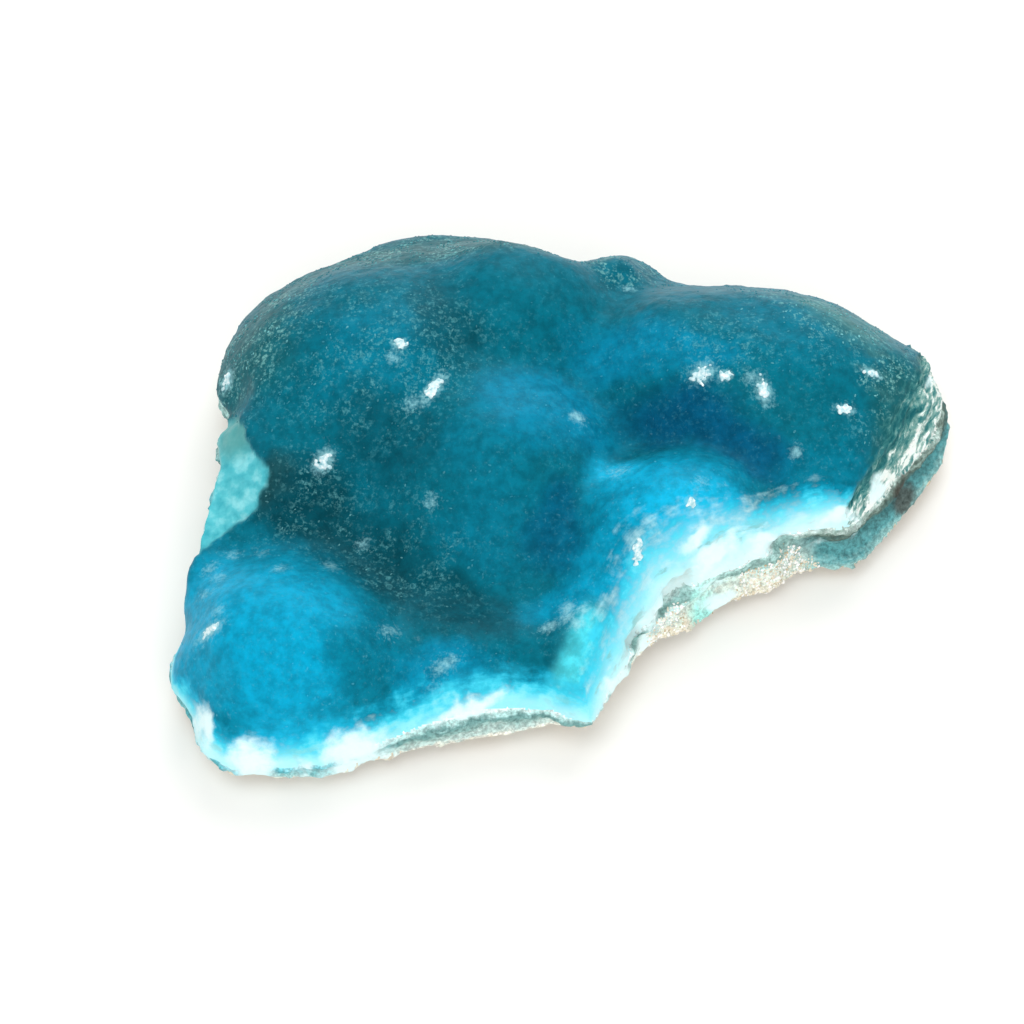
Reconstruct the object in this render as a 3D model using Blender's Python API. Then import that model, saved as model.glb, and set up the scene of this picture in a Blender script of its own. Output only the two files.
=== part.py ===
"""A loose chip of blue botryoidal hemimorphite, lying on its back.

The stone is one solid. It starts as a lattice block: a gridded top, a gridded underside and rows of wall
cells between them. A few named sizes push that block into shape: the outline of the crust, the profile of
its edge by bearing, the domes that the crust grew in, the scoops broken out of it, and the spots on the
back that it rests on. Sizes are in millimetres until the last step, which scales them to metres.

+Z is up, +X runs along the stone and +Y points to its unbroken, rounded side. The origin is under the
middle of the stone's box, on the surface that it lies on.
"""

import math

import bmesh
import bpy
import numpy as np
from mathutils import Matrix, Vector, noise

MM = 0.001

# Lattice block: cells along each side of the top and underside, and rows of cells down the wall
GRID = 42
WALL_ROWS = 9

# The edge of the crust seen from above. Each side runs on from the one before, and its first point is
# the corner between them: right corner, back left corner, front left corner, tip
BACK_SIDE = [
    (29.5, 9.8), (28.8, 12.2), (27.0, 13.8), (25.0, 15.4), (23.1, 16.9), (20.5, 18.3),
    (17.5, 18.9), (14.0, 19.3), (11.0, 19.4), (9.0, 19.8), (7.8, 21.2), (5.5, 22.0),
    (3.0, 21.6), (1.2, 20.8), (-1.3, 22.0), (-4.5, 23.6), (-8.0, 24.3), (-11.2, 24.1),
    (-14.3, 23.0), (-17.5, 21.4),
]
LEFT_SIDE = [
    (-20.5, 19.8), (-23.2, 18.0), (-24.8, 15.8), (-25.8, 13.0), (-26.3, 10.0), (-26.3, 8.0),
    (-25.1, 6.3), (-26.5, 4.3), (-26.1, 2.0), (-26.5, -1.0), (-27.0, -4.0), (-27.9, -8.5),
    (-28.0, -12.3), (-28.7, -14.5), (-28.9, -16.4), (-27.9, -17.8), (-26.9, -19.6),
]
FRONT_SIDE = [
    (-26.3, -21.3), (-24.8, -22.5), (-21.3, -22.9), (-17.5, -22.6), (-14.5, -21.8), (-12.0, -20.8),
    (-9.5, -19.8), (-6.5, -18.9), (-3.8, -18.1), (-1.2, -18.1), (0.8, -18.9),
]
BROKEN_SIDE = [
    (2.6, -19.6), (3.5, -17.6), (4.7, -15.6), (5.5, -13.8), (6.5, -12.0), (8.0, -9.9),
    (10.5, -8.4), (13.5, -7.1), (16.0, -6.0), (17.7, -4.7), (19.8, -3.9), (22.0, -3.6),
    (23.6, -2.0), (25.2, -0.3), (26.9, 1.7), (28.5, 3.5), (29.5, 5.4), (29.8, 7.6),
]
SIDES = (BACK_SIDE, LEFT_SIDE, FRONT_SIDE, BROKEN_SIDE)

# The edge by bearing, in degrees from +X by +Y as seen from BEARING_CENTRE. The columns are the height
# of the crust's edge, the width of the shoulder that rolls down to it, how far the foot of the wall
# stands out (below zero it is cut back), the height of the foot, and the depth of the groove where the
# soft white band weathered back
BEARING_CENTRE = Vector((0.0, 3.0))
EDGE_BY_BEARING = {
    6: (5.6, 1.0, 0.9, 1.8, 0.6),
    14: (5.6, 2.5, 0.3, 2.0, 0.4),
    22: (4.2, 6.0, -0.8, 1.5, 0.0),
    60: (4.0, 5.0, -1.5, 1.2, 0.0),
    75: (4.5, 3.5, -1.2, 1.2, 0.0),
    110: (4.0, 6.0, -1.8, 1.2, 0.0),
    150: (4.0, 5.0, -1.8, 1.2, 0.0),
    170: (5.5, 2.5, -1.2, 1.2, 0.0),
    185: (6.5, 1.5, -0.8, 1.0, 0.2),
    203: (6.0, 2.0, -1.2, 1.0, 0.2),
    212: (4.0, 4.5, -1.0, 1.2, 0.1),
    228: (3.5, 5.5, -0.5, 1.0, 0.3),
    245: (3.8, 4.5, 0.3, 1.2, 0.4),
    260: (4.6, 3.0, 1.4, 1.5, 0.5),
    272: (4.0, 3.5, 0.0, 1.8, 0.1),
    277: (4.0, 3.5, -1.0, 2.0, 0.0),
    292: (5.0, 5.0, 0.3, 2.0, 0.4),
    305: (5.5, 5.5, 1.8, 1.5, 0.7),
    325: (6.2, 4.0, 0.6, 1.0, 0.8),
    340: (6.6, 1.5, 1.3, 1.0, 0.9),
    348: (6.0, 1.0, 1.8, 1.2, 1.0),
    357: (5.6, 1.0, 1.6, 1.5, 0.9),
}
HEIGHT, SHOULDER, FOOT_OUT, FOOT_HEIGHT, GROOVE = range(5)

# Where the groove runs down the wall and how wide it is, as shares of the wall's height
GROOVE_PLACE = 0.52
GROOVE_SPREAD = 0.13
WALL_BULGE = 0.35

# Domes of the crust: middle, radius along and across, turn in degrees, and height of the top
DOMES = {
    "back_left": (-13.4, 9.5, 12.0, 10.0, 15, 13.0),
    "left_flank": (-21.0, 2.5, 6.5, 8.5, 0, 9.2),
    "back_middle": (-3.5, 14.5, 8.5, 7.5, 0, 12.5),
    "middle": (-5.2, 1.6, 10.0, 9.5, 0, 12.0),
    "back_right": (16.6, 8.8, 12.0, 9.0, 0, 12.0),
    "behind_bright": (9.5, 10.5, 8.0, 7.0, 0, 11.6),
    "bright": (8.6, -5.0, 8.5, 7.0, 28, 12.2),
    "front_left": (-20.3, -15.0, 9.5, 8.5, 0, 11.0),
    "back_knob": (4.8, 18.8, 3.6, 2.7, 0, 8.6),
    "corner_knob": (22.8, 13.4, 5.0, 4.0, -30, 8.8),
    "right_apron": (20.0, 3.0, 11.0, 10.0, 0, 9.6),
    "front_apron": (-8.0, -15.0, 10.0, 7.0, 10, 7.6),
    "tip_ridge": (3.0, -13.0, 5.0, 8.0, -15, 8.6),
}
DOME_FALL = 5.0
VALLEY_SOFTNESS = 0.9
SHOULDER_ROUNDNESS = 0.65
CRUST_FLOOR = 6.0

# Scoops broken out of the crust, as balls: middle and radius
SCOOPS = {
    "left_flake": (-31.0, -1.5, 20.0, 14.4),
    "left_notch": (-27.2, 6.4, 9.0, 3.6),
    "corner_nick": (-30.4, -18.7, 7.0, 3.2),
    "back_nick": (9.6, 22.4, 8.0, 3.0),
    "back_notch": (1.4, 22.8, 8.0, 3.2),
    "right_bevel": (44.8, -7.5, 35.5, 35.2),
}

# Underside: the spots that the stone rests on, as middle and radius, worn this deep into the relief.
# The relief curls up to the foot of the wall over the last few millimetres
REST_SPOTS = [(-15.0, 9.0, 5.0), (14.0, 8.0, 5.5), (-14.0, -13.0, 4.5), (3.0, -6.0, 4.0)]
REST_WEAR = 1.8
UNDERSIDE_LEVEL = 0.8
UNDERSIDE_CURL = 7.0
REST_LEVEL = 0.0

# Cells that lie within this angle of each other, in degrees, are one flat
FLAT_WITHIN = 0.5

# Roughness of each surface, as grains: the depth and size of the lumps
CRUST_GRAINS = ((0.30, 3.2), (0.14, 1.5))
WALL_GRAINS = ((0.55, 2.6), (0.30, 1.1))
UNDERSIDE_GRAINS = ((1.1, 5.0), (0.5, 2.2))
OUTLINE_GRAINS = ((0.30, 1.9),)

# Levels that keep the roughness of the outline and of the underside apart from that of the crust
OUTLINE_LEVEL = 40.0
UNDERSIDE_NOISE_LEVEL = 20.0

STONE_COLOUR = (0.015, 0.31, 0.43, 1.0)
STONE_ROUGHNESS = 0.38


def clear_scene():
    for obj in list(bpy.data.objects):
        bpy.data.objects.remove(obj)


def roughness(place, grains):
    return sum(depth * noise.noise(place / size) for depth, size in grains)


def rounded_loop(corners, steps):
    """A closed loop that passes smoothly through the corners (Catmull-Rom)."""
    here = np.array(corners)
    before = np.roll(here, 1, axis=0)
    after = np.roll(here, -1, axis=0)
    beyond = np.roll(here, -2, axis=0)
    stretches = []
    for step in range(steps):
        t = step / steps
        stretches.append(
            here
            + 0.5 * t * (after - before)
            + 0.5 * t**2 * (2 * before - 5 * here + 4 * after - beyond)
            + 0.5 * t**3 * (3 * here - 3 * after + beyond - before)
        )
    return np.stack(stretches, axis=1).reshape(-1, 2)


class Edge:
    """The stone's edge. A place on it is a share, 0 to 1, of the way round the crust's outline."""

    LOOP_STEPS = 6
    SAMPLES = 400

    def __init__(self):
        loop = rounded_loop([corner for side in SIDES for corner in side], self.LOOP_STEPS)
        self.loop = np.vstack([loop, loop[:1]])
        lengths = np.linalg.norm(np.diff(self.loop, axis=0), axis=1)
        self.way = np.concatenate([[0.0], np.cumsum(lengths)]) / lengths.sum()
        side_starts = np.cumsum([0] + [len(side) for side in SIDES]) * self.LOOP_STEPS
        self.corner_shares = self.way[side_starts]
        self.bearings = list(EDGE_BY_BEARING)
        self.columns = np.array(list(EDGE_BY_BEARING.values())).T
        self.shares = np.linspace(0, 1, self.SAMPLES, endpoint=False)
        self.crust_rim = np.array([self.crust_point(share) for share in self.shares])
        self.foot_rim = np.array([self.foot_point(share) for share in self.shares])

    def point(self, share):
        x = np.interp(share % 1, self.way, self.loop[:, 0])
        y = np.interp(share % 1, self.way, self.loop[:, 1])
        return Vector((x, y))

    def outward(self, share):
        """The outward direction, taken over a short stretch so that small corners don't swing it."""
        reach = 0.012
        along = self.point(share + reach) - self.point(share - reach)
        return Vector((along.y, -along.x)).normalized()

    def profile(self, share, column):
        spoke = self.point(share) - BEARING_CENTRE
        bearing = math.degrees(math.atan2(spoke.y, spoke.x))
        return float(np.interp(bearing % 360, self.bearings, self.columns[column], period=360))

    def crust_point(self, share):
        """A point on the crust's edge, with the small chips of a broken rim."""
        place = self.point(share)
        chips = roughness(Vector((place.x, place.y, OUTLINE_LEVEL)), OUTLINE_GRAINS)
        return place + chips * self.outward(share)

    def foot_point(self, share):
        """A point on the foot of the wall, where the underside starts."""
        return self.crust_point(share) + self.profile(share, FOOT_OUT) * self.outward(share)

    def nearest(self, place, rim):
        """The distance to the nearest point of a rim, and the share at which it lies."""
        distances = np.linalg.norm(rim - np.array(place), axis=1)
        closest = int(np.argmin(distances))
        return float(distances[closest]), float(self.shares[closest])


def dome_height(x, y, dome):
    middle_x, middle_y, along, across, turn, top = dome
    spoke = Matrix.Rotation(-math.radians(turn), 2) @ Vector((x - middle_x, y - middle_y))
    return top - DOME_FALL * ((spoke.x / along) ** 2 + (spoke.y / across) ** 2)


def crust_swell(x, y):
    """Height of the domes run together, with a soft valley where two of them meet."""
    heights = [CRUST_FLOOR] + [dome_height(x, y, dome) for dome in DOMES.values()]
    highest = max(heights)
    total = sum(math.exp((height - highest) / VALLEY_SOFTNESS) for height in heights)
    return highest + VALLEY_SOFTNESS * math.log(total)


def under_scoops(x, y, height):
    """Lowers a height to the floor of each scoop that reaches this place."""
    for middle_x, middle_y, middle_z, radius in SCOOPS.values():
        inside = radius**2 - (x - middle_x) ** 2 - (y - middle_y) ** 2
        if inside > 0:
            height = min(height, middle_z - math.sqrt(inside))
    return height


def crust_height(edge, place, from_edge, share):
    """Height of the top surface, which rolls down over the shoulder to the crust's edge."""
    low = edge.profile(share, HEIGHT)
    up_shoulder = min(from_edge / edge.profile(share, SHOULDER), 1.0)
    roll = (1 - (1 - up_shoulder) ** 2) ** SHOULDER_ROUNDNESS
    height = low + (crust_swell(place.x, place.y) - low) * roll
    height += roll * roughness(Vector((place.x, place.y, 0.0)), CRUST_GRAINS)
    return under_scoops(place.x, place.y, height)


def underside_height(edge, place, from_edge, share):
    """Height of the back: rough matrix, worn flat where it rests and curled up to the foot."""
    curl = max(1 - from_edge / UNDERSIDE_CURL, 0.0) ** 2
    relief = UNDERSIDE_LEVEL
    relief += roughness(Vector((place.x, place.y, UNDERSIDE_NOISE_LEVEL)), UNDERSIDE_GRAINS)
    for x, y, radius in REST_SPOTS:
        from_spot = (place - Vector((x, y))).length
        relief -= REST_WEAR * max(1 - (from_spot / radius) ** 2, 0.0)
    return max(relief * (1 - curl) + edge.profile(share, FOOT_HEIGHT) * curl, REST_LEVEL)


def wall_place(edge, share, down):
    """A place on the broken wall, from 0 at the crust's edge to 1 at the foot."""
    crust = edge.crust_point(share)
    top = crust_height(edge, crust, 0.0, share)
    place = crust.lerp(edge.foot_point(share), down)
    height = top + (edge.profile(share, FOOT_HEIGHT) - top) * down
    middle = math.sin(math.pi * down)
    torn = middle * roughness(Vector((place.x, place.y, height)), WALL_GRAINS)
    groove = math.exp(-(((down - GROOVE_PLACE) / GROOVE_SPREAD) ** 2))
    out = WALL_BULGE * middle + torn - groove * edge.profile(share, GROOVE)
    place = place + out * edge.outward(share)
    return Vector((place.x, place.y, height))


def lattice_block():
    """The block before shaping, 0 to 1 in x and y: underside at z = 0 and top at z = WALL_ROWS."""
    block = bmesh.new()
    bmesh.ops.create_grid(block, x_segments=GRID, y_segments=GRID, size=0.5)
    bmesh.ops.translate(block, verts=block.verts, vec=(0.5, 0.5, WALL_ROWS))
    rim = [side for side in block.edges if side.is_boundary]
    for _ in range(WALL_ROWS):
        grown = bmesh.ops.extrude_edge_only(block, edges=rim)["geom"]
        corners = [item for item in grown if isinstance(item, bmesh.types.BMVert)]
        bmesh.ops.translate(block, verts=corners, vec=(0, 0, -1))
        rim = [item for item in grown if isinstance(item, bmesh.types.BMEdge)]
    underside = bmesh.ops.create_grid(block, x_segments=GRID, y_segments=GRID, size=0.5)
    bmesh.ops.translate(block, verts=underside["verts"], vec=(0.5, 0.5, 0))
    bmesh.ops.remove_doubles(block, verts=block.verts, dist=0.1 / GRID)
    bmesh.ops.recalc_face_normals(block, faces=block.faces)
    return block


def side_share(edge, side, along):
    """The share at a distance, 0 to 1, along one of the four sides."""
    start, end = edge.corner_shares[side : side + 2]
    return start + (end - start) * along


def rim_share(edge, u, v):
    """The share that a corner on the lattice's rim takes."""
    close = 0.5 / GRID
    if v > 1 - close:
        return side_share(edge, 0, 1 - u)
    if u < close:
        return side_share(edge, 1, 1 - v)
    if v < close:
        return side_share(edge, 2, u)
    return side_share(edge, 3, v)


def spread_between_sides(edge, rim_point, u, v):
    """Where an inner corner of the lattice goes: between the four sides, in proportion (Coons patch)."""
    back = rim_point(side_share(edge, 0, 1 - u))
    left = rim_point(side_share(edge, 1, 1 - v))
    front = rim_point(side_share(edge, 2, u))
    right = rim_point(side_share(edge, 3, v))
    back_right, back_left, front_left, tip = [rim_point(share) for share in edge.corner_shares[:4]]
    across = front.lerp(back, v) + left.lerp(right, u)
    return across - front_left.lerp(tip, u).lerp(back_left.lerp(back_right, u), v)


def shape_stone(block):
    edge = Edge()
    for corner in block.verts:
        u, v = corner.co.x, corner.co.y
        row = round(corner.co.z)
        if min(u, v, 1 - u, 1 - v) < 0.5 / GRID:
            corner.co = wall_place(edge, rim_share(edge, u, v), 1 - row / WALL_ROWS)
        elif row > 0:
            place = spread_between_sides(edge, edge.crust_point, u, v)
            height = crust_height(edge, place, *edge.nearest(place, edge.crust_rim))
            corner.co = (place.x, place.y, height)
        else:
            place = spread_between_sides(edge, edge.foot_point, u, v)
            height = underside_height(edge, place, *edge.nearest(place, edge.foot_rim))
            corner.co = (place.x, place.y, height)


def merge_flat_cells(block):
    """Makes each worn spot underneath one flat face."""
    flat = [face for face in block.faces if all(corner.co.z <= REST_LEVEL for corner in face.verts)]
    corners = {corner for face in flat for corner in face.verts}
    sides = {side for face in flat for side in face.edges}
    angle = math.radians(FLAT_WITHIN)
    bmesh.ops.dissolve_limit(block, angle_limit=angle, verts=list(corners), edges=list(sides))


def centre_on_origin(block):
    """Puts the middle of the stone's box over the origin, and scales it to metres."""
    xs = [corner.co.x for corner in block.verts]
    ys = [corner.co.y for corner in block.verts]
    middle = Vector(((min(xs) + max(xs)) / 2, (min(ys) + max(ys)) / 2, 0))
    bmesh.ops.translate(block, verts=block.verts, vec=-middle)
    bmesh.ops.scale(block, verts=block.verts, vec=(MM, MM, MM))


def stone_material():
    material = bpy.data.materials.new("blue_hemimorphite")
    material.use_nodes = True
    surface = material.node_tree.nodes["Principled BSDF"]
    surface.inputs["Base Color"].default_value = STONE_COLOUR
    surface.inputs["Roughness"].default_value = STONE_ROUGHNESS
    surface.inputs["Metallic"].default_value = 0.0
    return material


def make_stone(collection):
    block = lattice_block()
    shape_stone(block)
    bmesh.ops.triangulate(block, faces=block.faces, quad_method="SHORT_EDGE")
    merge_flat_cells(block)
    centre_on_origin(block)
    mesh = bpy.data.meshes.new("hemimorphite")
    block.to_mesh(mesh)
    block.free()
    mesh.materials.append(stone_material())
    stone = bpy.data.objects.new("hemimorphite", mesh)
    collection.objects.link(stone)


def main():
    clear_scene()
    collection = bpy.data.collections.new("hemimorphite_specimen")
    bpy.context.scene.collection.children.link(collection)
    make_stone(collection)


main()
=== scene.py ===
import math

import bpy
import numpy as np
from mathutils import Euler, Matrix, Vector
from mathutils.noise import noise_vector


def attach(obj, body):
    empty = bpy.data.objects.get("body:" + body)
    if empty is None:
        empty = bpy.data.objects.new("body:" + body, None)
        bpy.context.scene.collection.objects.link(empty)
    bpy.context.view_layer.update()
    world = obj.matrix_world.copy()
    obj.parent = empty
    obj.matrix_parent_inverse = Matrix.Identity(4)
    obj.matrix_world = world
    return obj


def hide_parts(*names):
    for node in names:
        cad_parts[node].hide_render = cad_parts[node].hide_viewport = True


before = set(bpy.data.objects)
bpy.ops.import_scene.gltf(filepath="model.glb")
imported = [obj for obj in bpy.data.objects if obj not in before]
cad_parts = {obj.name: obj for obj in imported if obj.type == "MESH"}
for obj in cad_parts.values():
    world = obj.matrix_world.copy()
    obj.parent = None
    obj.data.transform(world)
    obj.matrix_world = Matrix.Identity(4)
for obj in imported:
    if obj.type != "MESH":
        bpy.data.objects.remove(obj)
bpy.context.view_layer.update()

# A loose chip of blue botryoidal hemimorphite, lying on its rough back on a pale floor.
#
# The crust, the broken edge and the back are one piece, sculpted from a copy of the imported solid. Three
# more pieces are grown on it: the druse of tiny blades that glints on the crust, the white tufts, and
# the crumbs of matrix that cling to the broken edge and the back.
# Places and sizes on the stone are in millimetres, in the frame's axes, and are turned to metres where
# they are used. The studio's are in metres.

MM = 0.001

# The camera, as the photograph was taken: looking down at the stone from its front
AIM = Vector((-4.3, -2.1, 4.0))
CAMERA_HEIGHT_ANGLE = 60.0
CAMERA_DISTANCE = 262.0
LENS = 120.0

# Each vertex of the fine mesh stands for a small square of the surface
GRAIN_OF_MESH = 0.265
VERTEX_AREA = GRAIN_OF_MESH**2

# The crust's edge seen from above, round from the back by the left: x, y, height of the edge, height of
# the foot of the wall below it, how far the pale band reaches in over the crust, how white it is, and
# how far in the fibres are laid bare on the right end. The last three are PLAIN where the edge is. The
# places are the outline's that the solid was drawn with, before its origin was moved to its middle
ORIGIN_IN_OUTLINE = np.array((0.92, 0.52, 0.0))
PLAIN = (0.2, 0.0, 0.1)
CRUST_EDGE = [
    (11.0, 19.4, 4.0, 1.2, *PLAIN), (9.0, 19.8, 4.2, 1.2, *PLAIN),
    (7.8, 21.2, 4.3, 1.2, *PLAIN), (5.5, 22.0, 4.3, 1.2, *PLAIN),
    (3.0, 21.6, 4.3, 1.2, *PLAIN), (1.2, 20.8, 4.3, 1.2, *PLAIN),
    (-1.3, 22.0, 4.2, 1.2, *PLAIN), (-4.5, 23.6, 4.1, 1.2, *PLAIN),
    (-8.0, 24.3, 4.0, 1.2, *PLAIN), (-11.2, 24.1, 4.0, 1.2, *PLAIN),
    (-14.3, 23.0, 4.0, 1.2, *PLAIN), (-17.5, 21.4, 4.0, 1.2, *PLAIN),
    (-20.5, 19.8, 4.0, 1.2, *PLAIN), (-23.2, 18.0, 4.0, 1.2, *PLAIN),
    (-24.8, 15.8, 4.0, 1.2, *PLAIN), (-25.8, 13.0, 4.2, 1.2, *PLAIN),
    (-26.3, 10.0, 4.8, 1.2, *PLAIN), (-26.3, 8.0, 5.2, 1.2, 0.3, 0.1, 0.1),
    (-25.1, 6.3, 5.4, 1.2, *PLAIN), (-26.5, 4.3, 5.6, 1.1, *PLAIN),
    (-26.1, 2.0, 5.8, 1.0, *PLAIN), (-26.5, -1.0, 5.9, 1.0, *PLAIN),
    (-27.0, -4.0, 5.9, 1.0, *PLAIN), (-27.9, -8.5, 5.6, 1.0, *PLAIN),
    (-28.0, -12.3, 4.4, 1.1, 0.3, 0.0, 0.1), (-28.7, -14.5, 3.9, 1.2, 0.4, 0.0, 0.1),
    (-28.9, -16.4, 3.8, 1.2, 0.6, 0.1, 0.1), (-27.9, -17.8, 3.6, 1.1, 0.9, 0.3, 0.1),
    (-26.9, -19.6, 3.5, 1.0, 1.2, 0.6, 0.1), (-26.3, -21.3, 3.4, 1.0, 1.4, 0.5, 0.1),
    (-24.8, -22.5, 3.4, 1.0, 1.5, 0.4, 0.1), (-21.3, -22.9, 3.4, 1.0, 1.6, 0.4, 0.1),
    (-17.5, -22.6, 3.6, 1.0, 1.7, 0.3, 0.1), (-14.5, -21.8, 3.8, 1.1, 2.0, 0.4, 0.1),
    (-12.0, -20.8, 4.0, 1.2, 2.4, 0.2, 0.1), (-9.5, -19.8, 4.3, 1.3, 2.6, 0.2, 0.1),
    (-6.5, -18.9, 4.5, 1.5, 2.4, 0.2, 0.1), (-3.8, -18.1, 4.4, 1.5, 2.0, 0.2, 0.1),
    (-1.2, -18.1, 4.1, 1.7, 1.8, 0.2, 0.1), (0.8, -18.9, 3.9, 1.9, 2.2, 0.4, 0.1),
    (2.6, -19.6, 3.8, 2.0, 3.0, 0.4, 0.1), (3.5, -17.6, 4.0, 2.0, 2.6, 0.6, 0.1),
    (4.7, -15.6, 4.3, 2.0, 3.0, 0.7, 0.1), (5.5, -13.8, 4.6, 2.0, 3.2, 0.7, 0.1),
    (6.5, -12.0, 4.9, 1.9, 3.5, 0.8, 0.1), (8.0, -9.9, 5.2, 1.7, 3.8, 0.9, 0.1),
    (10.5, -8.4, 5.5, 1.4, 3.8, 0.9, 0.1), (13.5, -7.1, 5.8, 1.1, 3.6, 0.9, 0.1),
    (16.0, -6.0, 6.1, 1.0, 3.2, 0.9, 0.1), (17.7, -4.7, 6.3, 1.0, 2.8, 0.8, 0.1),
    (19.8, -3.9, 6.3, 1.0, 2.6, 0.7, 0.1), (22.0, -3.6, 6.0, 1.1, 2.0, 0.7, 0.3),
    (23.6, -2.0, 5.6, 1.2, 0.8, 0.5, 1.0), (25.2, -0.3, 5.4, 1.3, 0.3, 0.2, 1.7),
    (26.9, 1.7, 5.4, 1.5, 0.2, 0.0, 2.6), (28.5, 3.5, 5.4, 1.6, 0.2, 0.0, 3.1),
    (29.5, 5.4, 5.4, 1.8, 0.2, 0.0, 3.3), (29.8, 7.6, 5.4, 1.9, 0.2, 0.0, 2.8),
    (29.5, 9.8, 5.3, 2.0, 0.2, 0.0, 1.4), (28.8, 12.2, 4.6, 1.7, 0.2, 0.0, 0.5),
    (27.0, 13.8, 4.2, 1.5, *PLAIN), (25.0, 15.4, 4.1, 1.4, *PLAIN),
    (23.1, 16.9, 4.1, 1.3, *PLAIN), (20.5, 18.3, 4.0, 1.2, *PLAIN),
    (17.5, 18.9, 4.0, 1.2, *PLAIN), (14.0, 19.3, 4.0, 1.2, *PLAIN),
]

# How far in from the edge the wall can lie, the narrowest band that is drawn, and the reading, in widths
# of a band, of a place that is far from it
WALL_REACH = 3.5
LEAST_BAND = 0.3
FAR = 9.0

# The shades of the mineral: deeper and bluer in the hollows and valleys between its domes, which is painted
# shade over its own colour there, brighter where light comes through it, greener where it is weathered and
# paler where it is frosted
SHADES = {
    "shaded deep teal": "#054a57",
    "dusky teal": "#06596a",
    "teal": "#066f83",
    "shaded deep blue": "#045b80",
    "mid blue": "#067b95",
    "sea blue": "#088cb0",
    "turquoise": "#08a8d0",
    "bright cyan": "#18bee8",
    "pale cyan": "#58e6f4",
    "milky cyan": "#48a8b4",
    "weathered green": "#15636b",
    "frosted green": "#4c8a8a",
    "rust": "#2f463c",
}

# The softly bounded clouds of colour on its domes and in its hollows, laid one over another on plain teal:
# middle, radius along and across, turn in degrees, shade, and how much of it shows. The dark ones in the
# valleys and hollows between the domes, and in the crescent round the bright dome, are painted shade over
# the crust's own colour
CLOUDS = {
    "back_rim_green": (-10.0, 19.8, 17.0, 4.0, 6, "weathered green", 0.8),
    "back_left_green": (-24.5, 11.0, 4.5, 9.5, -22, "weathered green", 0.9),
    "left_dome": (-14.0, 8.0, 5.8, 4.8, 0, "mid blue", 0.9),
    "left_dome_low": (-16.5, 4.6, 4.5, 3.0, 0, "mid blue", 0.6),
    "back_valley": (-9.0, 9.8, 3.4, 4.6, 20, "shaded deep teal", 0.7),
    "back_middle": (-4.5, 13.5, 4.8, 3.4, 0, "teal", 0.7),
    "dusky_saddle": (-13.0, 0.8, 6.5, 4.0, -15, "dusky teal", 0.85),
    "dark_hollow": (-19.5, -4.0, 5.0, 4.2, -30, "shaded deep teal", 0.95),
    "rusty_hollow": (-22.0, -2.6, 1.3, 2.4, -20, "rust", 0.35),
    "hollow_run": (-14.0, -8.3, 5.2, 3.2, -35, "shaded deep teal", 0.9),
    "hollow_end": (-8.0, -12.2, 6.5, 3.2, -12, "shaded deep teal", 0.75),
    "middle_swell": (-1.3, 3.4, 6.6, 5.0, -10, "sea blue", 0.9),
    "middle_left": (-6.6, -0.6, 4.2, 4.2, 0, "mid blue", 0.7),
    "middle_front": (-6.2, -6.2, 5.0, 3.8, 0, "mid blue", 0.8),
    "blue_spot": (-0.9, -6.0, 2.8, 3.6, 0, "shaded deep blue", 0.65),
    "behind_crescent": (4.4, 9.3, 5.2, 3.0, 0, "sea blue", 0.8),
    "bright_saddle": (9.5, 7.8, 4.6, 3.0, -10, "sea blue", 0.8),
    "blue_crescent": (9.8, 2.4, 7.6, 2.6, -22, "shaded deep blue", 0.95),
    "crescent_end": (14.6, -0.8, 4.0, 2.4, -10, "shaded deep blue", 0.8),
    "right_dome": (16.6, 9.6, 6.0, 4.4, 0, "mid blue", 0.55),
    "right_rim_green": (21.5, 12.2, 5.5, 3.0, -30, "frosted green", 0.5),
    "right_end_green": (25.4, 5.0, 3.2, 6.0, -12, "weathered green", 0.9),
    "rim_frost": (20.6, 12.2, 3.2, 0.8, -25, "frosted green", 0.5),
    "rim_frost_middle": (23.4, 9.2, 1.8, 0.6, -15, "frosted green", 0.35),
    "rim_frost_low": (23.4, 7.0, 1.8, 0.5, -8, "frosted green", 0.35),
    "rim_frost_end": (24.3, 4.9, 1.6, 0.6, -5, "frosted green", 0.35),
    "right_front": (19.3, -1.2, 5.0, 3.0, 20, "mid blue", 0.8),
    "below_bright": (2.2, -9.6, 4.0, 3.6, 0, "turquoise", 0.7),
    "tip_approach": (-0.6, -12.4, 3.2, 2.8, 0, "turquoise", 0.65),
    "bright_dome": (7.4, -4.6, 6.6, 5.2, 18, "turquoise", 0.95),
    "bright_core": (9.0, -6.4, 4.2, 3.0, 20, "bright cyan", 0.9),
    "bright_shoulder": (3.9, -1.8, 2.8, 2.6, 0, "bright cyan", 0.85),
    "tip": (1.3, -16.4, 2.6, 4.4, -15, "pale cyan", 0.95),
    "front_dome": (-22.6, -14.6, 8.4, 8.8, 0, "turquoise", 0.95),
    "front_dome_left": (-27.6, -12.6, 3.4, 7.5, -8, "turquoise", 0.8),
    "front_dome_core": (-21.4, -18.6, 5.2, 3.4, 0, "turquoise", 0.9),
    "front_glow": (-20.5, -22.2, 7.0, 1.6, 6, "bright cyan", 0.7),
    "front_dome_shade": (-15.0, -17.2, 3.4, 5.0, 0, "mid blue", 0.8),
    "front_apron": (-9.0, -17.3, 5.2, 2.4, 5, "sea blue", 0.8),
    "front_milk": (-6.6, -18.2, 4.6, 1.0, 12, "milky cyan", 0.4),
    "front_teal": (-2.4, -15.4, 3.6, 2.0, 0, "teal", 0.7),
}

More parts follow.
